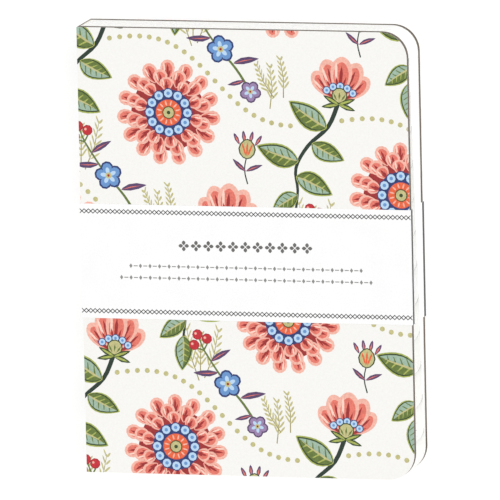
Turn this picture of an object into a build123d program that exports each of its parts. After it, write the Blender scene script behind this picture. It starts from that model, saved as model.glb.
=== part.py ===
from build123d import *
import os

# An address book lying on its back cover, in millimetres.
# X runs from the spine to the fore-edge, Y from the tail to the head and Z is up through the closed book.
# The origin is under the middle of the book, on the surface that it lies on.

# Board covers, cut flush with the leaves, under one printed paper that wraps the square spine
cover_width = 120.0
cover_height = 160.0
board_thickness = 2.5
cover_paper = 0.12
pastedown_paper = 0.12
cover_corner_radius = 9.3

# Binding between the printed paper of the spine and the leaves
spine_card_thickness = 0.55
glue_thickness = 0.4
leaf_clearance = 0.05

# Index sections, from the first under the front cover to the last over the back cover
section_letters = ("ab", "cd", "ef", "gh", "ij", "kl", "mn", "op", "qr", "st", "uv", "wx", "yz")
index_leaf_thickness = 0.27
address_leaves_thickness = 0.76
section_gap = 0.02

# Stepped index tabs along the fore-edge
tab_depth = 9.0
first_tab_height = 15.6
last_tab_height = 10.2
tab_corner_radius = 6.0
tab_root_radius = 2.0

# Paper belly band with both ends folded in behind the covers
band_paper = 0.15
band_height = 41.1
band_above_tail = 55.7
band_flap_depth = 34.0
band_fold_radius = 0.1
band_cover_clearance = 0.05
band_edge_clearance = 0.25

# Gap between the pieces that part along the opening fold
fold_gap = 0.02

# Length by which a cut runs past the sheet
overrun = 1.0

# Heights of the layers
flap_space = band_paper + 2 * band_cover_clearance
section_thickness = index_leaf_thickness + address_leaves_thickness
section_pitch = section_thickness + section_gap
cover_thickness = cover_paper + board_thickness + pastedown_paper
back_cover_bottom = band_paper + band_cover_clearance
back_cover_top = back_cover_bottom + cover_thickness
block_bottom = back_cover_top + flap_space
block_top = block_bottom + len(section_letters) * section_pitch - section_gap
front_cover_bottom = block_top + flap_space
front_cover_top = front_cover_bottom + cover_thickness
band_panel_bottom = front_cover_top + band_cover_clearance
closed_thickness = band_panel_bottom + band_paper

# Places across the book
spine_outside = -cover_width / 2
fore_edge = cover_width / 2
card_left = spine_outside + cover_paper
glue_left = card_left + spine_card_thickness
leaf_left = glue_left + glue_thickness + leaf_clearance
band_left = spine_outside - band_edge_clearance - band_paper
band_right = fore_edge + band_edge_clearance + band_paper

# Places along the book
head = cover_height / 2
tail = -cover_height / 2
band_top = tail + band_above_tail + band_height
tab_pitch = (cover_height - first_tab_height - last_tab_height) / (len(section_letters) - 2)

# Axis that the front cover and every section turn about, along the outer fold between spine and front cover
hinge_x = band_left
hinge_z = closed_thickness


def at_corner(vertex, x, y):
    """True where a vertex of a flat outline lies at x, y."""
    return abs(vertex.X - x) < overrun / 10 and abs(vertex.Y - y) < overrun / 10


def rounded(outline, places, radius):
    """An outline with the corners at the given places rounded."""
    corners = [v for v in outline.vertices() if any(at_corner(v, x, y) for x, y in places)]
    return fillet(corners, radius)


def rectangle_between(left, right, low, high):
    """A flat rectangle given by its four sides."""
    return Pos((left + right) / 2, (low + high) / 2) * Rectangle(right - left, high - low)


def block_between(left, right, front, back, low, high):
    """A rectangular solid given by its six sides."""
    face = rectangle_between(left, right, front, back)
    return extrude(Pos(0, 0, low) * face, amount=high - low)


def cover_sheet(left, low, thickness):
    """One layer of a cover with rounded fore-edge corners, from its spine side at left."""
    corners = [(fore_edge, head), (fore_edge, tail)]
    outline = rounded(rectangle_between(left, fore_edge, tail, head), corners, cover_corner_radius)
    return extrude(Pos(0, 0, low) * outline, amount=thickness)


def cover_layers(side, paper_low, board_low, pastedown_low):
    """The printed paper, the board and the pastedown of one cover."""
    board_left = card_left + fold_gap
    return {
        f"{side}_cover_paper": cover_sheet(spine_outside, paper_low, cover_paper),
        f"{side}_board": cover_sheet(board_left, board_low, board_thickness),
        f"{side}_pastedown": cover_sheet(board_left, pastedown_low, pastedown_paper),
    }


def covers():
    """The layers of both covers, each with its pastedown against the leaves."""
    board_low = front_cover_bottom + pastedown_paper
    pieces = cover_layers("front", front_cover_top - cover_paper, board_low, front_cover_bottom)
    board_low = back_cover_bottom + cover_paper
    pieces.update(cover_layers("back", back_cover_bottom, board_low, back_cover_top - pastedown_paper))
    return pieces


def section_outline(tab_bottom):
    """A leaf from the bound edge to the fore-edge, cut back below the bottom of its index tab."""
    sheet = rectangle_between(leaf_left, fore_edge, tail, head)
    sheet = rounded(sheet, [(fore_edge, head)], cover_corner_radius)
    if tab_bottom <= tail:
        return rounded(sheet, [(fore_edge, tail)], cover_corner_radius)
    tab_root = fore_edge - tab_depth
    sheet -= rectangle_between(tab_root, fore_edge + overrun, tail - overrun, tab_bottom)
    tab_radius = min(tab_corner_radius, tab_depth - tab_root_radius, first_tab_height - cover_corner_radius)
    sheet = rounded(sheet, [(fore_edge, tab_bottom)], tab_radius)
    return rounded(sheet, [(tab_root, tab_bottom)], tab_root_radius)


def tab_bottom_of(place):
    """The height along the book at which a section's tab ends, the last tab ending at the tail."""
    if place == len(section_letters) - 1:
        return tail
    return head - first_tab_height - place * tab_pitch


def section_leaves(place):
    """The printed index leaf and the address leaves under it, of the section at this place."""
    outline = section_outline(tab_bottom_of(place))
    index_bottom = block_top - place * section_pitch - index_leaf_thickness
    leaves_bottom = index_bottom - address_leaves_thickness
    index_leaf = extrude(Pos(0, 0, index_bottom) * outline, amount=index_leaf_thickness)
    address_leaves = extrude(Pos(0, 0, leaves_bottom) * outline, amount=address_leaves_thickness)
    return index_leaf, address_leaves


def folded_strip(profile, outer_corners):
    """A strip of the band's height from a profile across the book, with its outer folds rounded."""
    profile = rounded(profile, outer_corners, band_fold_radius)
    return extrude(Plane.XZ.offset(-band_top) * profile, amount=band_height)


def band_front_strip():
    """The panel over the front cover, the fold round its fore-edge and the flap behind it."""
    flap_top = front_cover_bottom - band_cover_clearance
    flap_bottom = flap_top - band_paper
    profile = rectangle_between(band_left, band_right, band_panel_bottom, closed_thickness)
    profile += rectangle_between(band_right - band_paper, band_right, flap_bottom, closed_thickness)
    profile += rectangle_between(fore_edge - band_flap_depth, band_right, flap_bottom, flap_top)
    return folded_strip(profile, [(band_right, closed_thickness), (band_right, flap_bottom)])


def band_back_strip():
    """The panel under the back cover, the fold round its fore-edge and the flap over it."""
    flap_bottom = back_cover_top + band_cover_clearance
    flap_top = flap_bottom + band_paper
    profile = rectangle_between(band_left, band_right, 0, band_paper)
    profile += rectangle_between(band_right - band_paper, band_right, 0, flap_top)
    profile += rectangle_between(fore_edge - band_flap_depth, band_right, flap_bottom, flap_top)
    return folded_strip(profile, [(band_left, 0), (band_right, 0), (band_right, flap_top)])


def band_spine_strip():
    """The panel of the band over the spine."""
    profile_top = band_panel_bottom - fold_gap
    profile = rectangle_between(band_left, band_left + band_paper, band_paper, profile_top)
    return extrude(Plane.XZ.offset(-band_top) * profile, amount=band_height)


def binding():
    """The printed paper of the spine, the card strip under it and the glue that holds the leaves."""
    paper_low = back_cover_bottom + cover_paper
    paper_top = front_cover_top - cover_paper - fold_gap
    card_top = front_cover_bottom - fold_gap
    return {
        "spine_paper": block_between(spine_outside, card_left, tail, head, paper_low, paper_top),
        "spine_card": block_between(card_left, glue_left, tail, head, back_cover_top, card_top),
        "spine_glue": block_between(glue_left, glue_left + glue_thickness, tail, head, block_bottom, block_top),
    }


def all_pieces():
    """Every piece of the book by name."""
    pieces = {
        "band_front": band_front_strip(),
        "band_spine": band_spine_strip(),
        "band_back": band_back_strip(),
    }
    pieces.update(covers())
    pieces.update(binding())
    for place, letters in enumerate(section_letters):
        index_leaf, address_leaves = section_leaves(place)
        pieces[f"index_leaf_{letters}"] = index_leaf
        pieces[f"address_leaves_{letters}"] = address_leaves
    return pieces


os.makedirs("parts", exist_ok=True)
for name, piece in all_pieces().items():
    piece.label = name
    export_step(piece, f"parts/{name}.step")
print(f"hinge at x {hinge_x:.3f}, z {hinge_z:.3f}, tab pitch {tab_pitch:.3f}")
print(f"leaves from z {block_bottom:.3f} to {block_top:.3f}, {section_pitch:.3f} a section")
print(f"band from y {band_top - band_height:.3f} to {band_top:.3f}")
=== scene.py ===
import math
import random

import bpy
from mathutils import Matrix, Vector
from mathutils.geometry import delaunay_2d_cdt


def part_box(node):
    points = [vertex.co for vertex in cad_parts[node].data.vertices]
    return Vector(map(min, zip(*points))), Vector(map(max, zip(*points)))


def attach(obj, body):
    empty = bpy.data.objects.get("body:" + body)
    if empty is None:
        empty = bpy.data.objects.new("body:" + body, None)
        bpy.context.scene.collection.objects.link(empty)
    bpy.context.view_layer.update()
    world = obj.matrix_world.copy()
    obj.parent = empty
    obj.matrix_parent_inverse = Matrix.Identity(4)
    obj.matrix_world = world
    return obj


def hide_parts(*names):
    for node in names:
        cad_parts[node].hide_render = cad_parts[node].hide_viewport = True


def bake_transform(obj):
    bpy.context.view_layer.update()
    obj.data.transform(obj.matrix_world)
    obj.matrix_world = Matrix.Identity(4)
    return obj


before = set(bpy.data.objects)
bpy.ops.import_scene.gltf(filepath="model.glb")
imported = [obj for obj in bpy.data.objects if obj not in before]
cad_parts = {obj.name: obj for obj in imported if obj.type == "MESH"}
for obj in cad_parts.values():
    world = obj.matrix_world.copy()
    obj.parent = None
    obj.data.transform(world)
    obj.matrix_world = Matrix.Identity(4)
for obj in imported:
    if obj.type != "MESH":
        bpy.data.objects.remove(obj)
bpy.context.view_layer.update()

random.seed(26)

# Lengths below are in millimetres and are scaled to metres where a mesh is made
MM = 0.001
LETTERS = ("ab", "cd", "ef", "gh", "ij", "kl", "mn", "op", "qr", "st", "uv", "wx", "yz")


def sides(node):
    """The lowest and highest corner of a CAD node, in millimetres."""
    low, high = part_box(node)
    return [round(v / MM, 4) for v in low], [round(v / MM, 4) for v in high]


# Places taken from the CAD nodes
(LEFT, TAIL, FRONT_UNDER), (RIGHT, HEAD, FRONT_TOP) = sides("front_cover_paper")
BACK_BOTTOM, BACK_UNDER = sides("back_cover_paper")[0][2], sides("back_cover_paper")[1][2]
PAPER = FRONT_TOP - FRONT_UNDER
SPINE_LENGTH = FRONT_TOP - BACK_BOTTOM
BAND_LOW, BAND_HIGH = sides("band_front")
BAND_BACK_LOW, BAND_BACK_HIGH = sides("band_back")
CORNER = 9.3

# Width of printed paper on each side of the spine's upper corner
JOINT_WIDTH = 1.4

# Place across the front where the paper of the spine joint ends and the paper of the cover begins
JOINT_EDGE = LEFT + JOINT_WIDTH


# Colours of the print, as sRGB bytes
PALETTE = {
    "ground": (247, 246, 242),
    "paper": (250, 249, 246),
    "coral_dark": (160, 50, 50),
    "coral": (229, 121, 106),
    "salmon": (244, 184, 167),
    "blush": (252, 214, 198),
    "navy": (50, 64, 116),
    "blue": (108, 152, 206),
    "sky": (188, 217, 243),
    "orange": (233, 102, 64),
    "khaki": (196, 190, 134),
    "khaki_dark": (160, 152, 92),
    "olive_dark": (58, 76, 46),
    "olive": (104, 122, 62),
    "sage": (160, 186, 166),
    "lime": (170, 180, 92),
    "stem": (44, 60, 50),
    "plum": (92, 70, 108),
    "lilac": (156, 132, 172),
    "red": (198, 48, 58),
}


def linear(rgb):
    """An sRGB colour in bytes as a linear colour with alpha."""
    channels = []
    for byte in rgb:
        c = byte / 255
        channels.append(c / 12.92 if c <= 0.04045 else ((c + 0.055) / 1.055) ** 2.4)
    return (*channels, 1.0)


# Materials


def start_material(name):
    """An empty principled material and its node tree."""
    material = bpy.data.materials.new(name)
    material.use_nodes = True
    return material, material.node_tree, material.node_tree.nodes["Principled BSDF"]


def add_node(tree, kind, inputs=(), **settings):
    """A node with its settings and inputs, where an input is a value or another node's output."""
    node = tree.nodes.new(kind)
    for key, value in settings.items():
        setattr(node, key, value)
    for key, value in dict(inputs).items():
        if isinstance(value, bpy.types.NodeSocket):
            tree.links.new(value, node.inputs[key])
        else:
            node.inputs[key].default_value = value
    return node


def object_place(tree, stretch=(1.0, 1.0, 1.0)):
    """The place on the piece at rest, stretched along each axis."""
    place = add_node(tree, "ShaderNodeTexCoord")
    mapping = add_node(tree, "ShaderNodeMapping", {"Vector": place.outputs["Object"]})
    mapping.inputs["Scale"].default_value = stretch
    return mapping.outputs["Vector"]


def noise(tree, place, scale, detail=3.0, roughness=0.55):
    """A noise value over a place."""
    inputs = {"Vector": place, "Scale": scale, "Detail": detail, "Roughness": roughness}
    return add_node(tree, "ShaderNodeTexNoise", inputs).outputs["Fac"]


def spread(tree, value, low, high, start=0.3, end=0.7):
    """A value mapped from the range start to end onto low to high."""
    inputs = {"Value": value, "From Min": start, "From Max": end, "To Min": low, "To Max": high}
    return add_node(tree, "ShaderNodeMapRange", inputs).outputs["Result"]


def blended(tree, factor, first, second, mode="MIX"):
    """Two colours mixed by a factor."""
    mix = add_node(tree, "ShaderNodeMix", data_type="RGBA", blend_type=mode)
    for key, value in ((0, factor), (6, first), (7, second)):
        if isinstance(value, bpy.types.NodeSocket):
            tree.links.new(value, mix.inputs[key])
        else:
            mix.inputs[key].default_value = value
    return mix.outputs[2]


def worked(tree, operation, first, second=0.0):
    """A sum done on one or two values."""
    node = add_node(tree, "ShaderNodeMath", operation=operation)
    for key, value in enumerate((first, second)):
        if isinstance(value, bpy.types.NodeSocket):
            tree.links.new(value, node.inputs[key])
        else:
            node.inputs[key].default_value = value
    return node.outputs[0]


def bumped(tree, shader, height, distance):
    """Gives a shader the relief of a height value."""
    inputs = {"Height": height, "Distance": distance, "Strength": 1.0}
    bump = add_node(tree, "ShaderNodeBump", inputs)
    tree.links.new(bump.outputs["Normal"], shader.inputs["Normal"])


def fibre_finish(name, light, dark, scale, rough=(0.72, 0.86), relief=0.00001, stretch=(1, 1, 1)):
    """Uncoated paper or board: two close tones mixed by fibres and clouds, with a fine relief."""
    fibre_share, cloud_share, cloud_size = 0.65, 0.35, 14
    material, tree, shader = start_material(name)
    place = object_place(tree, stretch)
    fibres = noise(tree, place, scale, detail=5.0, roughness=0.62)
    clouds = noise(tree, place, scale / cloud_size, detail=2.0, roughness=0.5)
    fine = worked(tree, "MULTIPLY", fibres, fibre_share)
    coarse = worked(tree, "MULTIPLY", clouds, cloud_share)
    mixed = spread(tree, worked(tree, "ADD", fine, coarse), 0.0, 1.0, start=0.34, end=0.66)
    tone = blended(tree, mixed, linear(dark), linear(light))
    tree.links.new(tone, shader.inputs["Base Color"])
    tree.links.new(spread(tree, fibres, *rough), shader.inputs["Roughness"])
    shader.inputs["Specular IOR Level"].default_value = 0.25
    bumped(tree, shader, fibres, relief)
    return material


def print_finish():
    """Printed cover paper: the colours of the print with the mottling of gouache, on a fine soft grain."""
    light_tint, dark_tint, mottle_share = (1.22, 1.22, 1.22, 1.0), (0.80, 0.80, 0.82, 1.0), 0.75
    rough, relief = (0.50, 0.62), 0.000006
    material, tree, shader = start_material("printed_cover_paper")
    colour = add_node(tree, "ShaderNodeVertexColor", layer_name="print").outputs["Color"]
    place = object_place(tree)
    brushwork = noise(tree, place, scale=1500.0, detail=3.0, roughness=0.6)
    grain = noise(tree, place, scale=4200.0, detail=2.0, roughness=0.5)
    channels = add_node(tree, "ShaderNodeSeparateColor", {"Color": colour})
    inked = worked(tree, "SUBTRACT", 1.0, channels.outputs["Blue"])
    lighter = blended(tree, 1.0, colour, light_tint, "MULTIPLY")
    darker = blended(tree, 1.0, colour, dark_tint, "MULTIPLY")
    mottled = blended(tree, spread(tree, brushwork, 0.0, 1.0, start=0.36, end=0.64), darker, lighter)
    tone = blended(tree, worked(tree, "MULTIPLY", inked, mottle_share), colour, mottled)
    tree.links.new(tone, shader.inputs["Base Color"])
    tree.links.new(spread(tree, grain, *rough), shader.inputs["Roughness"])
    shader.inputs["Specular IOR Level"].default_value = 0.3
    bumped(tree, shader, grain, relief)
    return material


def ruled_finish():
    """Writing paper with faint ruled lines, laid out in the page's own units of a tenth of a metre."""
    line_step, line_share, ink_share = 0.075, 0.035, 0.8
    half_width, half_height, shift = 0.46, 0.70, 0.02
    light, dark, line_grey = (252, 251, 247), (246, 244, 238), (176, 182, 190)
    rough, relief = (0.7, 0.85), 0.000006
    material, tree, shader = start_material("ruled_leaf_paper")
    page = add_node(tree, "ShaderNodeUVMap", uv_map="page").outputs["UV"]
    across = add_node(tree, "ShaderNodeSeparateXYZ", {"Vector": page})
    x, y = across.outputs["X"], across.outputs["Y"]
    step = worked(tree, "FRACT", worked(tree, "DIVIDE", y, line_step))
    line = worked(tree, "LESS_THAN", step, line_share)
    wide = worked(tree, "LESS_THAN", worked(tree, "ABSOLUTE", worked(tree, "ADD", x, shift)), half_width)
    high = worked(tree, "LESS_THAN", worked(tree, "ABSOLUTE", y), half_height)
    inked = worked(tree, "MULTIPLY", line, worked(tree, "MULTIPLY", wide, high))
    fibres = noise(tree, page, scale=90.0, detail=5.0, roughness=0.6)
    paper = blended(tree, spread(tree, fibres, 0.0, 1.0), linear(dark), linear(light))
    tone = blended(tree, worked(tree, "MULTIPLY", inked, ink_share), paper, linear(line_grey))
    tree.links.new(tone, shader.inputs["Base Color"])
    tree.links.new(spread(tree, fibres, *rough), shader.inputs["Roughness"])
    shader.inputs["Specular IOR Level"].default_value = 0.2
    bumped(tree, shader, fibres, relief)
    return material


def glue_finish():
    """Dried binding glue: cloudy off-white with a soft shine and shallow brush ridges along the spine."""
    light, dark, along_spine = (240, 236, 220), (224, 216, 190), (1, 0.2, 1)
    rough, relief = (0.32, 0.48), 0.00006
    material, tree, shader = start_material("dried_binding_glue")
    place = object_place(tree, along_spine)
    ridges = noise(tree, place, scale=700.0, detail=3.0, roughness=0.5)
    tone = blended(tree, spread(tree, ridges, 0.0, 1.0), linear(dark), linear(light))
    tree.links.new(tone, shader.inputs["Base Color"])
    tree.links.new(spread(tree, ridges, *rough), shader.inputs["Roughness"])
    bumped(tree, shader, ridges, relief)
    return material


def floor_finish():
    """A white studio floor that shines a little by itself, so that shadows on it stay faint."""
    light, dark = (0.44, 0.44, 0.44, 1.0), (0.42, 0.42, 0.42, 1.0)
    material, tree, shader = start_material("studio_floor")
    place = object_place(tree)
    clouds = noise(tree, place, scale=3.0)
    tone = blended(tree, clouds, dark, light)
    tree.links.new(tone, shader.inputs["Base Color"])
    shader.inputs["Roughness"].default_value = 0.9
    shader.inputs["Specular IOR Level"].default_value = 0.0
    shader.inputs["Emission Color"].default_value = (1.0, 1.0, 1.0, 1.0)
    shader.inputs["Emission Strength"].default_value = 0.66
    return material


# Size, roughness, relief in metres and stretch of the grain of each kind of paper
INK_GRAIN = {"scale": 2200.0, "rough": (0.6, 0.75), "relief": 0.000002}
CUT_GRAIN = {"scale": 1300.0, "rough": (0.85, 0.95), "relief": 0.00001, "stretch": (0.4, 0.4, 8)}
BOARD_GRAIN = {"scale": 1100.0, "rough": (0.84, 0.96), "relief": 0.00005, "stretch": (1, 1, 6)}
BAND_GRAIN = {"scale": 1600.0, "rough": (0.6, 0.74), "relief": 0.000005}

PRINT = print_finish()
BAND = fibre_finish("white_band_paper", (255, 255, 255), (250, 250, 250), **BAND_GRAIN)
BOARD = fibre_finish("raw_greyboard", (124, 113, 103), (82, 73, 66), **BOARD_GRAIN)
PASTEDOWN = fibre_finish("pastedown_paper", (250, 248, 243), (243, 240, 233), scale=1200.0)
INDEX = fibre_finish("index_paper", (255, 255, 254), (250, 250, 248), scale=1400.0)
RULED = ruled_finish()
CUT = fibre_finish("cut_leaf_edges", (255, 255, 255), (244, 244, 242), **CUT_GRAIN)
# The rims round the corner of each tab are a darker grey: painted shade where a tab steps back to the next
# section
TAB_CORNER_SHADE = fibre_finish("tab_corner_painted_shade", (194, 194, 194), (170, 170, 169), **CUT_GRAIN)
GLUE = glue_finish()
STAR_INK = fibre_finish("star_grey_ink", (118, 116, 114), (104, 102, 100), **INK_GRAIN)
LINE_INK = fibre_finish("line_grey_ink", (150, 149, 147), (138, 137, 135), **INK_GRAIN)
# The grey of the printed lattice borders, which also paints the shade on the band's fore-edge folds
BORDER_INK_AND_FOLD_SHADE = fibre_finish("border_ink_and_fold_shade", (86, 85, 84), (74, 73, 72), **INK_GRAIN)
LETTER_INK = fibre_finish("index_letter_ink", (96, 94, 92), (82, 80, 78), **INK_GRAIN)


# Meshes


def make_piece(name, verts, faces, materials):
    """An object from vertices in millimetres."""
    mesh = bpy.data.meshes.new(name)
    mesh.from_pydata([[c * MM for c in v] for v in verts], [], faces)
    for material in materials:
        mesh.materials.append(material)
    mesh.validate()
    mesh.update()
    piece = bpy.data.objects.new(name, mesh)
    bpy.context.scene.collection.objects.link(piece)
    return piece


def rim_of(faces):
    """The directed edges that only one face of a flat mesh uses."""
    used = {(a, b) for loop in faces for a, b in zip(loop, (*loop[1:], loop[0]))}
    return sorted((a, b) for a, b in used if (b, a) not in used)


def slab(points, faces, place, near, far, plain_back=False):
    """A flat mesh made solid from depth near to depth far, and the numbers of its front and back faces."""
    verts = [place(p, near) for p in points]
    rim = rim_of(faces)
    if plain_back:
        following = dict(rim)
        loop = [rim[0][0]]
        while following[loop[-1]] != loop[0]:
            loop.append(following[loop[-1]])
        below = {a: len(points) + k for k, a in enumerate(loop)}
        verts += [place(points[a], far) for a in loop]
        backs = [[below[a] for a in reversed(loop)]]
    else:
        below = {a: len(points) + a for a in range(len(points))}
        verts += [place(p, far) for p in points]
        backs = [[below[a] for a in reversed(loop)] for loop in faces]
    rims = [(a, below[a], below[b], b) for a, b in rim]
    return verts, [*faces, *backs, *rims], len(faces), len(backs)


def rounded(corners, count=7):
    """An outline from right-angled corners x, y, radius."""
    outline = []
    for k, (x, y, radius) in enumerate(corners):
        if not radius:
            outline.append((x, y))
            continue
        before, after = corners[k - 1], corners[(k + 1) % len(corners)]
        into = Vector((x - before[0], y - before[1])).normalized()
        out = Vector((after[0] - x, after[1] - y)).normalized()
        centre = Vector((x, y)) + (out - into) * radius
        for step in range(count + 1):
            angle = math.pi / 2 * step / count
            offset = centre - out * radius * math.cos(angle) + into * radius * math.sin(angle)
            outline.append(tuple(offset))
    return outline


def flat_place(point, height):
    """A point of a flat mesh at a height."""
    return point[0], point[1], height


# Shapes of the print, each a closed outline with its colour


def lens(length, width, belly=1.0, tip=0.8, count=6):
    """A petal or leaf from its base at the origin to its tip up the Y axis."""
    side = []
    for k in range(1, count):
        t = (1 - math.cos(math.pi * k / count)) / 2
        side.append((width / 2 * math.sin(math.pi * t**belly) ** tip, t * length))
    return [(0.0, 0.0), *side, (0.0, length), *[(-x, y) for x, y in reversed(side)]]


def circle(x, y, radius, count=8):
    """A round dot."""
    turns = [2 * math.pi * k / count for k in range(count)]
    return [(x + radius * math.cos(t), y + radius * math.sin(t)) for t in turns]


def turned(points, x=0.0, y=0.0, turn=0.0, size=1.0):
    """Points scaled and turned about the origin, then moved."""
    c, s = math.cos(math.radians(turn)) * size, math.sin(math.radians(turn)) * size
    return [(x + px * c - py * s, y + px * s + py * c) for px, py in points]


def placed(shapes, **how):
    """Shapes scaled, turned and moved together."""
    return [(turned(points, **how), tone) for points, tone in shapes]


def bent(shapes, length, bend):
    """Shapes bent sideways, more towards their tip."""
    return [([(x + bend * (y / length) ** 2, y) for x, y in points], tone) for points, tone in shapes]


def curve_value(a, b, c, d, t):
    """One coordinate of a smooth curve from b to c, where a and d are the points before and after."""
    slope = (c - a) * t
    bend = (2 * a - 5 * b + 4 * c - d) * t**2
    ease = (3 * b - a - 3 * c + d) * t**3
    return 0.5 * (2 * b + slope + bend + ease)


def spline(points, steps=4):
    """Points along a smooth curve through the given points."""
    padded = [points[0], *points, points[-1]]
    curve = []
    for four in zip(padded, padded[1:], padded[2:], padded[3:]):
        for k in range(steps):
            curve.append(tuple(curve_value(*values, k / steps) for values in zip(*four)))
    return [*curve, points[-1]]


def ribbon(points, start, end):
    """A stroke along points, with its width going from start to end."""
    left, right = [], []
    for k, (x, y) in enumerate(points):
        ahead, behind = points[min(k + 1, len(points) - 1)], points[max(k - 1, 0)]
        along = Vector((ahead[0] - behind[0], ahead[1] - behind[1])).normalized()
        half = (start + (end - start) * k / (len(points) - 1)) / 2
        left.append((x - along.y * half, y + along.x * half))
        right.append((x + along.y * half, y - along.x * half))
    return right + left[::-1]


# Veins of a petal, as lean in degrees and shares of the petal's length and width
PETAL_VEINS = ((-15, 0.5, 0.13), (15, 0.5, 0.13), (0, 0.74, 0.21))


def coral_petal(length, width, count=7):
    """A round-tipped petal with a highlight and three veins."""
    shapes = [(lens(length, width, 1.5, 0.5, count), "salmon")]
    inner = lens(length * 0.84, width * 0.7, 1.5, 0.55, count - 1)
    shapes.append((turned(inner, y=length * 0.03), "coral"))
    highlight = lens(length * 0.5, width * 0.16, 1, 1, 3)
    shapes.append((turned(highlight, x=-width * 0.2, y=length * 0.36, turn=4), "blush"))
    for lean, length_share, width_share in PETAL_VEINS:
        vein = lens(length * length_share, width * width_share, 1, 1, 3)
        shapes.append((turned(vein, y=length * 0.05, turn=lean), "coral_dark"))
    return shapes


# Rings of a bead, as share of its radius, number of corners and tone
BEAD_RINGS = ((1.0, 10, "navy"), (0.8, 9, "sky"), (0.36, 6, "blue"))


def bead(distance, radius):
    """A round blue bead at a distance up the Y axis."""
    return [(circle(0, distance, radius * share, count), tone) for share, count, tone in BEAD_RINGS]


def disc(radius, count, tone):
    """A round field about the origin."""
    return circle(0, 0, radius, count), tone


# Rings of petals in the round flower, as count, inner and outer radius, petal width and turn of the first
PETAL_RINGS = ((15, 11.4, 19.0, 5.4, 0), (12, 9.2, 15.8, 5.4, 12), (10, 7.4, 12.8, 5.0, 3))
BEADS = 12


def rosette():
    """A round flower in rings of coral petals round a ring of blue beads and an orange heart."""
    shapes = []
    for count, near, far, width, start in PETAL_RINGS:
        shapes.append(disc(near + 0.3 * (far - near), 20, "coral_dark"))
        petal = placed(coral_petal(far - near, width), y=near)
        for k in range(count):
            shapes += placed(petal, turn=start + 360 * k / count)
    shapes.append(disc(8.4, 24, "navy"))
    for k in range(BEADS):
        shapes += placed(bead(6.9, 1.95), turn=360 * k / BEADS)
    shapes += [disc(5.1, 18, "navy"), disc(4.7, 18, "orange")]
    seed = turned(lens(1.9, 0.75, 1, 1, 3), y=2.5)
    for k in range(BEADS):
        shapes += placed([(seed, "salmon")], turn=360 * (k + 0.5) / BEADS)
    return [*shapes, disc(2.3, 14, "olive_dark"), disc(1.95, 12, "khaki"), disc(0.7, 7, "olive_dark")]


# Petals of the cup as lean in degrees, length and width, and the leans of its beads, seeds and sepals
CUP_PETALS = ((-44, 12.5, 6.4), (44, 12.5, 6.4), (-22, 14.5, 7.2), (22, 14.5, 7.2), (0, 15.0, 8.0))
CUP_BEADS = (-46, -23, 0, 23, 46)
CUP_SEEDS = (-30, 0, 30)
CUP_SEPALS = (-104, 104, -66, 66)


def cup_flower():
    """A cup-shaped flower seen from the side, with its base at the origin."""
    shapes = []
    for lean, length, width in CUP_PETALS:
        shapes += placed(placed(coral_petal(length, width, 12), y=2.2), turn=lean)
    for lean in CUP_BEADS:
        shapes += placed(bead(6.6, 1.5), turn=lean)
    shapes += [(circle(0, 3.2, 2.9, 12), "olive_dark"), (circle(0, 3.2, 2.5, 12), "khaki")]
    for lean in CUP_SEEDS:
        shapes += placed([(turned(lens(3.0, 0.7, 1, 1, 2), y=1.6), "olive")], turn=lean)
    sepal = [(lens(6.4, 2.0, 0.9, 0.9, 4), "olive_dark"), (lens(5.3, 1.0, 0.9, 0.9, 3), "lime")]
    for lean in CUP_SEPALS:
        shapes += placed(sepal, turn=lean)
    return shapes


def leaf_field(length, width, count):
    """The outline of a broad leaf, widest nearer to its base."""
    return lens(length, width, 0.8, 0.85, count)


# Pairs of veins in a broad leaf
LEAF_VEINS = 4


def broad_leaf(length, width, bend):
    """A smooth leaf with a yellow-green rim, a darker and a lighter green half and a khaki midrib."""
    half_count = 9
    shapes = [(leaf_field(length, width, 11), "lime")]
    shapes.append((turned(leaf_field(length * 0.94, width * 0.88, 11), y=length * 0.02), "olive_dark"))
    inner = turned(leaf_field(length * 0.88, width * 0.76, half_count), y=length * 0.035)
    shapes.append((inner, "olive"))
    shapes.append(([(0, inner[0][1]), *inner[1 : half_count + 1]], "sage"))
    for k in range(LEAF_VEINS):
        y = length * (0.16 + 0.17 * k)
        x = width * (0.34 - 0.05 * k)
        for side, tone in ((-1, "lime"), (1, "olive")):
            vein = [(0, y), (side * x, y + x * 0.75), (side * x, y + x * 0.9), (0, y + length * 0.05)]
            shapes.append((vein, tone))
    shapes.append((lens(length * 0.86, width * 0.1, 0.7, 0.9, 3), "khaki"))
    return bent(shapes, length, bend)


# Pairs of blades on a frond
FROND_PAIRS = 6


def frond(length, bend):
    """A fine feathery frond."""
    side = [(0.2, 0), (0.18, length / 2), (0.1, length)]
    shapes = [([(-0.2, 0), *side, *[(-x, y) for x, y in side[:0:-1]]], "khaki_dark")]
    for k in range(FROND_PAIRS):
        y = length * (k + 1.6) / (FROND_PAIRS + 1)
        blade = lens(length * (0.27 - 0.025 * k), 0.85, 1, 0.9, 3)
        for side in (-1, 1):
            shapes.append((turned(blade, y=y, turn=34 * side), "khaki"))
    return bent(shapes, length, bend)


def blossom(rim, petal, heart):
    """A small five-petalled flower in three tones."""
    shapes = []
    for length, width, tone in ((4.5, 4.0, rim), (3.9, 3.1, petal), (2.6, 1.3, heart)):
        for k in range(5):
            shapes += placed([(lens(length, width, 1.4, 0.5, 5), tone)], turn=72 * k)
    return [*shapes, disc(1.0, 8, "khaki"), disc(0.45, 6, "coral_dark")]


def berries():
    """Three berries at the end of a twig, with the twig's end at the origin."""
    shapes = []
    for x, y in ((-2.6, 3.0), (2.6, 3.4), (0, 6.0)):
        shapes.append((ribbon([(0, 0), (x * 0.8, y * 0.5), (x, y)], 0.6, 0.45), "olive"))
        shapes += [(circle(x, y, 1.95, 9), "coral_dark"), (circle(x, y, 1.65, 9), "red")]
        shapes.append((circle(x - 0.5, y + 0.6, 0.5, 6), "salmon"))
    return shapes


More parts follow.
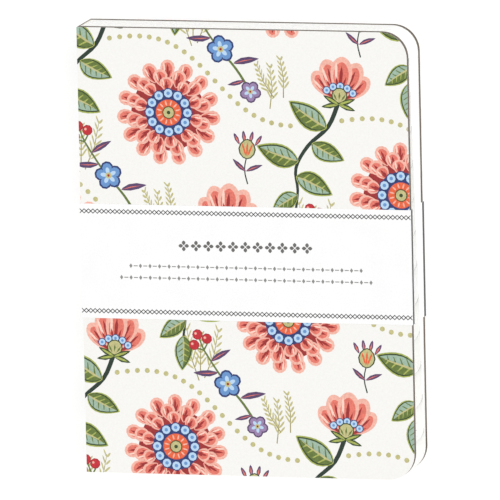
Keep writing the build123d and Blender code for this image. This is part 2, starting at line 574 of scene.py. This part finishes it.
def leaflet(length):
    """A narrow plum leaf with a coral line."""
    blade = lens(length, length * 0.27, 0.9, 0.9, 5)
    line = lens(length * 0.8, 0.35, 1, 1, 2)
    return bent([(blade, "plum"), (line, "coral")], length, length * 0.12)


def seed_head():
    """A striped pod with a crown on its own stem, with the stem's end at the origin."""
    pod_base, pod_stripes, crown = 9.2, (-20, 0, 20), (-30, 30, -10, 10)
    shapes = [(ribbon(spline([(0.8, 0), (-0.6, 5), (0, 10)], 3), 0.5, 0.4), "stem")]
    for lean in crown:
        shapes += placed([(turned(lens(4.6, 1.5, 1.1, 0.7, 4), y=5.6), "plum")], y=9, turn=lean)
        shapes += placed([(turned(lens(3.4, 0.6, 1, 1, 2), y=6.0), "coral")], y=9, turn=lean)
    shapes.append((turned(lens(7.4, 6.4, 0.95, 0.55, 6), y=8.8), "olive_dark"))
    shapes.append((turned(lens(6.6, 5.4, 0.95, 0.55, 6), y=pod_base), "khaki"))
    for lean in pod_stripes:
        shapes += placed([(turned(lens(5.0, 0.9, 1, 1, 3), y=0.8), "orange")], y=pod_base, turn=lean)
    for side in (-1, 1):
        shapes += placed(leaflet(6.5), y=4.5, turn=58 * side)
    return shapes


# The two steps from one repeat of the pattern to the next, and the place of the first repeat
ACROSS, UP = Vector((84.0, -28.0)), Vector((42.0, 46.0))
FIRST = Vector((-27.0, 50.0))
REPEATS_ACROSS, REPEATS_UP = range(-4, 3), range(-4, 5)

# The winding stem with its cup flower, and its leaves as x, y, turn, length, width and bend
VINE = ((20, -41), (16, -50), (8.5, -57), (4, -65), (4.5, -73), (3.5, -81))
CUP_PLACE = {"x": 20, "y": -42, "turn": -6}
LEAVES = (
    (15.5, -50.5, 62, 16.5, 8.6, 2.0),
    (10, -56, -126, 13, 7.4, -2.0),
    (5, -62.5, 78, 16, 8.4, 2.0),
    (4, -68, -108, 14.5, 8.0, 2.0),
    (4.5, -74.5, 116, 11.5, 6.6, -1.5),
    (3.5, -80, 184, 12.5, 6.8, 1.5),
)

# The twig with its berries, its leaflets as x, y, turn and length, and its blossoms as x, y, size, turn
# and tones
TWIG = ((30, 8), (25, 16), (17.5, 25), (11, 35))
BERRY_PLACE = {"x": 11, "y": 35, "turn": 22}
LEAFLETS = ((24, 18, -72, 9.5), (16, 27, 98, 9.0), (13.5, 31, -52, 8.5), (28, 12, 112, 6.5))
BLOSSOMS = (
    (19.5, 23, 1.15, 10, ("navy", "blue", "sky")),
    (30, 8, 0.9, 40, ("plum", "lilac", "sky")),
)

# Fronds as x, y, turn, length and bend
FRONDS = (
    (51, -50, 24, 19, 4),
    (53, -49, -30, 18, -4),
    (51.5, -48, -2, 15, 0),
    (-3.5, -40, 40, 13, 3),
    (0, -40, -6, 14, -2.5),
    (37, 2, -14, 15, -3.5),
)
SEED_HEAD_PLACE = {"x": 27.5, "y": -25, "turn": -4}

# The wave of dots, with the numbers of the dots that would touch another motif
DOTS, DOT_RADIUS = 26, 0.95
WAVE_DROP, WAVE_HEIGHT = 12, 7.5
DOT_GAP = range(10, 14)


def garland():
    """A wave of dots that runs on from one repeat to the next, with a gap where the other motifs lie."""
    start, normal = UP / 2, Vector((-ACROSS.y, ACROSS.x)).normalized()
    dots = []
    for k in range(DOTS):
        if k not in DOT_GAP:
            fall = WAVE_DROP + WAVE_HEIGHT * math.sin(2 * math.pi * k / DOTS)
            at = start + ACROSS * k / DOTS - normal * fall
            dots.append((circle(at.x, at.y, DOT_RADIUS), "khaki"))
    return dots


def motif_groups():
    """Everything else in one repeat, as groups from the lowest layer to the topmost."""
    stems = [(ribbon(spline(VINE), 1.7, 0.8), "stem"), (ribbon(spline(TWIG), 1.0, 0.6), "olive")]
    for x, y, turn, length, bend in FRONDS:
        stems += placed(frond(length, bend), x=x, y=y, turn=turn)
    leaves = []
    for x, y, turn, length, width, bend in LEAVES:
        leaves += placed(broad_leaf(length, width, bend), x=x, y=y, turn=turn)
    for x, y, turn, length in LEAFLETS:
        leaves += placed(leaflet(length), x=x, y=y, turn=turn)
    flowers = placed(seed_head(), **SEED_HEAD_PLACE) + placed(berries(), **BERRY_PLACE)
    for x, y, size, turn, tones in BLOSSOMS:
        flowers += placed(blossom(*tones), x=x, y=y, size=size, turn=turn)
    return stems, leaves, flowers + placed(cup_flower(), **CUP_PLACE) + rosette()


def whole_pattern():
    """The pattern over the wrapped paper, with X going round the spine onto the back cover."""
    centres = [FIRST + ACROSS * i + UP * j for i in REPEATS_ACROSS for j in REPEATS_UP]
    shapes = []
    for group in (garland(), *motif_groups()):
        for centre in centres:
            shapes += placed(group, x=centre.x, y=centre.y)
    return shapes


def mosaic(outline, shapes, lines=()):
    """The triangles that fill an outline, each in the colour of the topmost shape over it."""
    xs, ys = [p[0] for p in outline], [p[1] for p in outline]
    points, faces, tones = [Vector(p) for p in outline], [list(range(len(outline)))], ["ground"]
    for shape, tone in shapes:
        sx, sy = [p[0] for p in shape], [p[1] for p in shape]
        if max(sx) < min(xs) or min(sx) > max(xs) or max(sy) < min(ys) or min(sy) > max(ys):
            continue
        turn = sum(a[0] * b[1] - b[0] * a[1] for a, b in zip(shape, (*shape[1:], shape[0])))
        faces.append(list(range(len(points), len(points) + len(shape))))
        points += [Vector(p) for p in (shape if turn > 0 else shape[::-1])]
        tones.append(tone)
    edges = []
    for line in lines:
        edges.append((len(points), len(points) + 1))
        points += [Vector(p) for p in line]
    fill_inside, tolerance, with_owners = 1, 1e-4, True
    flat, _, loops, _, _, owners = delaunay_2d_cdt(points, edges, faces, fill_inside, tolerance, with_owners)
    kept = [(list(loop), tones[max(own)]) for loop, own in zip(loops, owners) if 0 in own]
    used = sorted({k for loop, _ in kept for k in loop})
    number = {k: n for n, k in enumerate(used)}
    return [tuple(flat[k]) for k in used], [([number[k] for k in loop], tone) for loop, tone in kept]


def printed_sheet(name, outline, place, shapes, lines=()):
    """A sheet of the cover paper with the print on its outside."""
    points, tiles = mosaic(outline, shapes, lines)
    loops = [loop for loop, _ in tiles]
    verts, faces, fronts, _ = slab(points, loops, place, 0.0, PAPER, plain_back=not lines)
    piece = make_piece(name, verts, faces, [PRINT])
    colours = {tone: linear(rgb) for tone, rgb in PALETTE.items()}
    layer = piece.data.color_attributes.new("print", "FLOAT_COLOR", "CORNER")
    values = []
    for polygon in piece.data.polygons:
        tone = tiles[polygon.index][1] if polygon.index < fronts else "paper"
        values += colours[tone] * polygon.loop_total
    layer.data.foreach_set("color", values)
    return piece


def front_place(point, depth):
    """On the front cover."""
    return point[0], point[1], FRONT_TOP - depth


def spine_place(point, depth):
    """Up the spine and over its top corner onto the front cover."""
    u, v = point
    if u <= LEFT:
        return LEFT + depth, v, min(FRONT_TOP + u - LEFT, FRONT_TOP - depth)
    return max(u, LEFT + depth), v, FRONT_TOP - depth


def back_place(point, depth):
    """On the back cover, where the print runs on from the foot of the spine."""
    return LEFT - (point[0] - (LEFT - SPINE_LENGTH)), point[1], BACK_BOTTOM + depth


# Steps round a corner of the covers, and the step and number of the lines that divide the paper of the spine
# joint
CORNER_STEPS = 12
FOLD_STEP, FOLDS = 0.35, 8

pattern = whole_pattern()
front_corners = [(JOINT_EDGE, TAIL, 0), (RIGHT, TAIL, CORNER), (RIGHT, HEAD, CORNER), (JOINT_EDGE, HEAD, 0)]
front_outline = rounded(front_corners, CORNER_STEPS)
front_print = printed_sheet("front_cover_print", front_outline, front_place, pattern)
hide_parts("front_cover_paper")
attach(front_print, "front_cover")

back_left, back_right = LEFT - SPINE_LENGTH - (RIGHT - LEFT), LEFT - SPINE_LENGTH
back_corners = [
    (back_left, TAIL, CORNER),
    (back_right, TAIL, 0),
    (back_right, HEAD, 0),
    (back_left, HEAD, CORNER),
]
back_outline = rounded(back_corners, CORNER_STEPS)
back_print = printed_sheet("back_cover_print", back_outline, back_place, pattern)
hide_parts("back_cover_paper")
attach(back_print, "root")

spine_low = LEFT - SPINE_LENGTH + (BACK_UNDER - BACK_BOTTOM)
spine_outline = [(spine_low, TAIL), (JOINT_EDGE, TAIL), (JOINT_EDGE, HEAD), (spine_low, HEAD)]
folds = [LEFT - JOINT_WIDTH + FOLD_STEP * k for k in range(FOLDS)]
spine_lines = [((u, TAIL), (u, HEAD)) for u in folds]
spine_print = printed_sheet("spine_print", spine_outline, spine_place, pattern, spine_lines)
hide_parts("spine_paper")
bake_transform(spine_print)


# Leaves of the index

# Depth of a tab, the radii of its corner and its root, and the heights of the first and the last tab
TAB_DEPTH, TAB_RADIUS, ROOT_RADIUS = 9.0, 6.0, 2.0
FIRST_TAB, LAST_TAB = 15.6, 10.2
TAB_PITCH = (HEAD - TAIL - FIRST_TAB - LAST_TAB) / (len(LETTERS) - 2)

# The bound edge of the leaves, and the width and number of the strips beside it
LEAF_LEFT = sides("index_leaf_ab")[0][0]
GUTTER_WIDTH, GUTTER_STRIPS = 14.0, 12
GUTTER_END = LEAF_LEFT + GUTTER_WIDTH

# Sheets in each pack of address leaves, the gap under each, and the most that any edge is trimmed by
SHEETS, SHEET_GAP, TRIM = 5, 0.004, 0.05

# Page units to a metre
PAGE_UNITS = 10


def tab_bottom(place):
    """Place along the book at which the tab of a section ends."""
    return TAIL if place == len(LETTERS) - 1 else HEAD - FIRST_TAB - place * TAB_PITCH


def leaf_shape(place, trim):
    """The flat mesh of one leaf: strips across the gutter, then the page with its tab."""
    right, low, high = RIGHT - trim[0], TAIL + trim[1], HEAD - trim[2]
    bottom = tab_bottom(place)
    corners = [(GUTTER_END, low, 0)]
    if bottom <= TAIL:
        corners.append((right, low, CORNER))
    else:
        root = RIGHT - TAB_DEPTH - trim[0]
        corners += [(root, low, 0), (root, bottom, ROOT_RADIUS), (right, bottom, TAB_RADIUS)]
    corners += [(right, high, CORNER), (GUTTER_END, high, 0)]
    page = rounded(corners)
    steps = [LEAF_LEFT + (GUTTER_END - LEAF_LEFT) * k / GUTTER_STRIPS for k in range(GUTTER_STRIPS)]
    points = [*[(x, low) for x in steps], *page, *[(x, high) for x in reversed(steps)]]
    last = len(points) - 1
    faces = [[k, k + 1, last - k - 1, last - k] for k in range(GUTTER_STRIPS)]
    faces.append(list(range(GUTTER_STRIPS, last - GUTTER_STRIPS + 1)))
    return points, faces


def rim_material(points, bottom):
    """The material number of a rim face from its points: 2, grey painted shade, round the corner of a tab,
    otherwise 1.
    """
    edge_margin = 0.1
    x = sum(p[0] for p in points) / len(points)
    y = sum(p[1] for p in points) / len(points)
    turning = RIGHT - TAB_RADIUS < x < RIGHT - edge_margin and bottom < y < bottom + TAB_RADIUS
    return 2 if turning and bottom > TAIL else 1


def leaf_stack(name, place, layers, face_material):
    """Leaves of one section between the given heights, each trimmed a hair differently."""
    verts, faces, numbers = [], [], []
    for low, high in layers:
        trim = [random.uniform(0.0, TRIM) for _ in range(3)]
        points, loops = leaf_shape(place, trim)
        solid, closed, fronts, backs = slab(points, loops, flat_place, high, low)
        faces += [[k + len(verts) for k in loop] for loop in closed]
        numbers += [0] * (fronts + backs)
        for loop in closed[fronts + backs :]:
            numbers.append(rim_material([solid[k] for k in loop], tab_bottom(place)))
        verts += solid
    piece = make_piece(name, verts, faces, [face_material, CUT, TAB_CORNER_SHADE])
    piece.data.polygons.foreach_set("material_index", numbers)
    page = piece.data.uv_layers.new(name="page")
    for loop in piece.data.loops:
        at = piece.data.vertices[loop.vertex_index].co
        page.data[loop.index].uv = (at.x * PAGE_UNITS, at.y * PAGE_UNITS)
    return piece


def turn_with_section(piece):
    """Moves the leaf's place into its mesh, where it stays."""
    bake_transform(piece)


# Index letters: their size, the depth of their ink, its height over the leaf, their place across the tab
LETTER_SIZE, LETTER_INK_DEPTH, LETTER_LIFT, LETTER_PLACE = 3.8, 0.002, 0.006, 0.66


def add_letters(place, letters, height):
    """The pair of index letters on the tab of a section."""
    text = bpy.data.curves.new(f"letters_{letters}", "FONT")
    text.body = letters.upper()
    text.size = LETTER_SIZE * MM
    text.extrude = LETTER_INK_DEPTH * MM
    text.resolution_u = 3
    text.align_x, text.align_y = "CENTER", "CENTER"
    holder = bpy.data.objects.new("text_outline", text)
    bpy.context.scene.collection.objects.link(holder)
    bpy.context.view_layer.update()
    evaluated = holder.evaluated_get(bpy.context.evaluated_depsgraph_get())
    mesh = bpy.data.meshes.new_from_object(evaluated)
    bpy.data.objects.remove(holder)
    above = HEAD if place == 0 else tab_bottom(place - 1)
    middle = (above + tab_bottom(place)) / 2
    across = RIGHT - TAB_DEPTH * LETTER_PLACE
    mesh.transform(Matrix.Translation(Vector((across, middle, height)) * MM))
    mesh.materials.clear()
    mesh.materials.append(LETTER_INK)
    piece = bpy.data.objects.new(f"index_letters_{letters}", mesh)
    bpy.context.scene.collection.objects.link(piece)
    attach(piece, f"section_{letters}")


for place, letters in enumerate(LETTERS):
    index_low, index_high = sides(f"index_leaf_{letters}")
    index_layer = [(index_low[2], index_high[2])]
    index_leaf = leaf_stack(f"index_sheet_{letters}", place, index_layer, INDEX)
    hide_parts(f"index_leaf_{letters}")
    turn_with_section(index_leaf)
    leaves_low, leaves_high = sides(f"address_leaves_{letters}")
    pitch = (leaves_high[2] - leaves_low[2]) / SHEETS
    layers = []
    for k in range(SHEETS):
        layers.append((leaves_low[2] + k * pitch + SHEET_GAP, leaves_low[2] + (k + 1) * pitch))
    leaves = leaf_stack(f"address_sheets_{letters}", place, layers, RULED)
    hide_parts(f"address_leaves_{letters}")
    turn_with_section(leaves)
    add_letters(place, letters, index_high[2] + LETTER_LIFT)


# Joint of the endpaper between the glue and the inside of the front cover

# Its distance from the card, its steps across, and its two depths under the pastedown
ENDPAPER_MARGIN, ENDPAPER_STEP, ENDPAPER_STEPS = 0.05, 0.5, 14
ENDPAPER_TOP, ENDPAPER_BOTTOM = 0.06, 0.14

card_right = sides("spine_card")[1][0]
pastedown_low = sides("front_pastedown")[0][2]
joint_steps = [card_right + ENDPAPER_MARGIN + ENDPAPER_STEP * k for k in range(ENDPAPER_STEPS)]
joint_points = [*[(x, TAIL) for x in joint_steps], *[(x, HEAD) for x in reversed(joint_steps)]]
joint_last = len(joint_points) - 1
joint_faces = [[k, k + 1, joint_last - k - 1, joint_last - k] for k in range(ENDPAPER_STEPS - 1)]
joint_top, joint_bottom = pastedown_low - ENDPAPER_TOP, pastedown_low - ENDPAPER_BOTTOM
joint_verts, joint_loops, _, _ = slab(joint_points, joint_faces, flat_place, joint_top, joint_bottom)
endpaper = make_piece("endpaper_joint", joint_verts, joint_loops, [PASTEDOWN])
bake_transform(endpaper)


# Print on the belly band

INK_DEPTH = 0.006

# The lattice borders: inset from the edges of the band, height, pitch and width of a line
BORDER_INSET, BORDER_HEIGHT, BORDER_PITCH, BORDER_LINE = 2.65, 1.5, 1.6, 0.3

# Blank lengths before and after a border, or a grey strip of painted shade on a fold, on each part of the
# band
FACE_MARGINS, SPINE_MARGINS = (0.1, 0.1), (0.3, 0.4)
FRONT_FOLD_MARGINS, BACK_FOLD_MARGINS = (0.35, 0.45), (0.2, 0.2)

# The row of stars: stars to each side of the middle, step, height on the band, opening at each middle,
# and a petal as length, width, belly, tip and number of points
STAR_REACH, STAR_STEP, STAR_HEIGHT, STAR_OPENING = 5, 4.5, 2.35, 0.22
STAR_PETAL = (1.7, 1.4, 1.1, 0.8, 5)

# The rows of diamonds and dashes, each as height on the band and steps to each side
DASH_ROWS = ((-5.2, 12), (-9.4, 13))
DASH_STEP, DIAMOND_LENGTH, DIAMOND_WIDTH = 3.5, 1.7, 1.2
DASH = ((1, -0.17), (2.5, -0.17), (2.5, 0.17), (1, 0.17))


def on_front(point, depth):
    """On the front panel of the band."""
    return point[0], point[1], BAND_HIGH[2] - depth


def on_back(point, depth):
    """Under the back panel of the band."""
    return -point[0], point[1], BAND_BACK_LOW[2] + depth


def on_spine(point, depth):
    """On the spine panel of the band, with the print's X going up."""
    return BAND_LOW[0] + depth, point[1], point[0]


def on_fold(point, depth):
    """On a fore-edge fold of the band, with the print's X going down."""
    return BAND_HIGH[0] - depth, point[1], -point[0]


def inked(name, meshes, place, body, ink):
    """Flat shapes printed on the band, as one piece."""
    verts, faces = [], []
    for points, loops in meshes:
        solid, closed, _, _ = slab(points, loops, place, -INK_DEPTH, 0.0)
        faces += [[k + len(verts) for k in loop] for loop in closed]
        verts += solid
    piece = make_piece(name, verts, faces, [ink])
    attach(piece, body)


def zigzag(left, right, middle, phase):
    """One of the two crossing lines of a lattice border."""
    steps = round((right - left) / BORDER_PITCH)
    pitch = (right - left) / steps
    rise = BORDER_LINE / 2 * math.hypot(pitch, BORDER_HEIGHT) / pitch
    line = [(left + k * pitch, middle + BORDER_HEIGHT / 2 * (-1) ** (k + phase)) for k in range(steps + 1)]
    points = [(x, y - rise) for x, y in line] + [(x, y + rise) for x, y in line]
    count = len(line)
    return points, [[k, k + 1, count + k + 1, count + k] for k in range(steps)]


def lattice(left, right):
    """The two lattice borders of the band across one of its panels."""
    middles = (BAND_LOW[1] + BORDER_INSET, BAND_HIGH[1] - BORDER_INSET)
    return [zigzag(left, right, middle, phase) for middle in middles for phase in (0, 1)]


def alone(points):
    """One closed shape as a flat mesh."""
    return points, [list(range(len(points)))]


def ornament():
    """A row of small four-leaved stars."""
    petal = turned(lens(*STAR_PETAL), y=STAR_OPENING)
    shapes = []
    for k in range(-STAR_REACH, STAR_REACH + 1):
        for turn in (0, 90, 180, 270):
            shapes.append(alone(turned(petal, x=STAR_STEP * k, y=STAR_HEIGHT, turn=turn)))
    return shapes


def dashes(middle, reach):
    """A row of diamonds and dashes under the ornament, with its number of steps to each side."""
    diamond = turned(lens(DIAMOND_LENGTH, DIAMOND_WIDTH, 1, 1, 2), y=-DIAMOND_LENGTH / 2)
    shapes = []
    for k in range(-reach, reach + 1):
        shapes.append(alone(turned(diamond, x=DASH_STEP * k, y=middle)))
        if k < reach:
            shapes.append(alone(turned(DASH, x=DASH_STEP * k, y=middle)))
    return shapes


def fold_shade_bar(left, right):
    """A plain grey strip of painted shade along the band's height, from left to right across the fold."""
    return alone([(left, BAND_LOW[1]), (right, BAND_LOW[1]), (right, BAND_HIGH[1]), (left, BAND_HIGH[1])])


def within(low, high, margins):
    """The stretch from low to high without the blank lengths at its ends."""
    return low + margins[0], high - margins[1]


front_border = lattice(*within(BAND_LOW[0], BAND_HIGH[0], FACE_MARGINS))
back_border = lattice(*within(-BAND_HIGH[0], -BAND_LOW[0], FACE_MARGINS))
spine_border = lattice(*within(BAND_BACK_LOW[2], BAND_HIGH[2], SPINE_MARGINS))
# Grey strips of painted shade over the two fore-edge fold faces of the band
front_fold_shade = fold_shade_bar(*within(-BAND_HIGH[2], -BAND_LOW[2], FRONT_FOLD_MARGINS))
back_fold_shade = fold_shade_bar(*within(-BAND_BACK_HIGH[2], -BAND_BACK_LOW[2], BACK_FOLD_MARGINS))
dash_rows = [shape for row in DASH_ROWS for shape in dashes(*row)]

inked("band_border_front", front_border, on_front, "belly_band_front", BORDER_INK_AND_FOLD_SHADE)
inked("band_border_back", back_border, on_back, "belly_band", BORDER_INK_AND_FOLD_SHADE)
inked("band_border_spine", spine_border, on_spine, "belly_band", BORDER_INK_AND_FOLD_SHADE)
inked("band_ornament", ornament(), on_front, "belly_band_front", STAR_INK)
inked("band_dashes", dash_rows, on_front, "belly_band_front", LINE_INK)
inked("band_fold_painted_shade_front", [front_fold_shade], on_fold, "belly_band_front", BORDER_INK_AND_FOLD_SHADE)
inked("band_fold_painted_shade_back", [back_fold_shade], on_fold, "belly_band", BORDER_INK_AND_FOLD_SHADE)


# Materials of the CAD nodes that stay

for node, material in {
    "front_board": BOARD,
    "back_board": BOARD,
    "front_pastedown": PASTEDOWN,
    "back_pastedown": PASTEDOWN,
    "spine_card": BOARD,
    "spine_glue": GLUE,
    "band_front": BAND,
    "band_spine": BAND,
    "band_back": BAND,
}.items():
    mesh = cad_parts[node].data
    mesh.materials.clear()
    mesh.materials.append(material)


# Studio


def make_floor():
    """A wide pale floor under the book."""
    half, steps = 6.0, 12
    row = steps + 1
    marks = [-half + 2 * half * k / steps for k in range(row)]
    verts = [(x, y, 0.0) for y in marks for x in marks]
    starts = [j * row + i for j in range(steps) for i in range(steps)]
    faces = [(k, k + 1, k + row + 1, k + row) for k in starts]
    mesh = bpy.data.meshes.new("studio_floor")
    mesh.from_pydata(verts, [], faces)
    mesh.materials.append(floor_finish())
    floor = bpy.data.objects.new("studio_floor", mesh)
    bpy.context.scene.collection.objects.link(floor)


def make_light():
    """Even white light from all round and a weak soft light onto the fore-edge."""
    surround, key_energy, key_angle = 0.775, 1.0, 45
    key_from = Vector((1.0, 0.4, 1.3))
    world = bpy.data.worlds.new("studio")
    bpy.context.scene.world = world
    world.use_nodes = True
    background = world.node_tree.nodes["Background"]
    background.inputs["Color"].default_value = (1.0, 1.0, 1.0, 1.0)
    background.inputs["Strength"].default_value = surround
    lamp = bpy.data.lights.new("soft_key", "SUN")
    lamp.energy = key_energy
    lamp.angle = math.radians(key_angle)
    key = bpy.data.objects.new("soft_key", lamp)
    key.rotation_euler = key_from.to_track_quat("Z", "Y").to_euler()
    bpy.context.scene.collection.objects.link(key)


def make_camera():
    """A long lens looking down on the book, turned a little to its fore-edge and its head.

    The first values are the lens and sensor in millimetres and the picture in pixels, then the scale and
    the pixels by which the middle of the cover lies off the middle of the picture, and last how far the
    picture's right and up directions lean down from the cover.
    """
    lens_length, sensor, picture = 1000.0, 36.0, 500.0
    pixels_per_mm, aside, above = 2.83, 4.4, 3.65
    right_z, up_z = -0.247, -0.168
    skew = right_z * up_z / (math.sqrt(1 - right_z**2) + math.sqrt(1 - up_z**2))
    right = Vector((math.sqrt(1 - right_z**2 - skew**2), -skew, right_z)).normalized()
    up = Vector((-skew, math.sqrt(1 - up_z**2 - skew**2), up_z))
    up = (up - right * up.dot(right)).normalized()
    back = right.cross(up)
    middle = Vector(((LEFT + RIGHT) / 2, (TAIL + HEAD) / 2, FRONT_TOP))
    target = (middle + right * (aside / pixels_per_mm) + up * (above / pixels_per_mm)) * MM
    distance = picture * lens_length / (sensor * pixels_per_mm) * MM
    data = bpy.data.cameras.new("camera")
    data.lens, data.sensor_width = lens_length, sensor
    data.clip_start, data.clip_end = 0.05, 20.0
    camera = bpy.data.objects.new("camera", data)
    turn = Matrix((right, up, back)).transposed().to_4x4()
    camera.matrix_world = Matrix.Translation(target + back * distance) @ turn
    bpy.context.scene.collection.objects.link(camera)
    bpy.context.scene.camera = camera


make_floor()
make_light()
make_camera()
bpy.context.scene.view_settings.view_transform = "Standard"
bpy.context.view_layer.update()
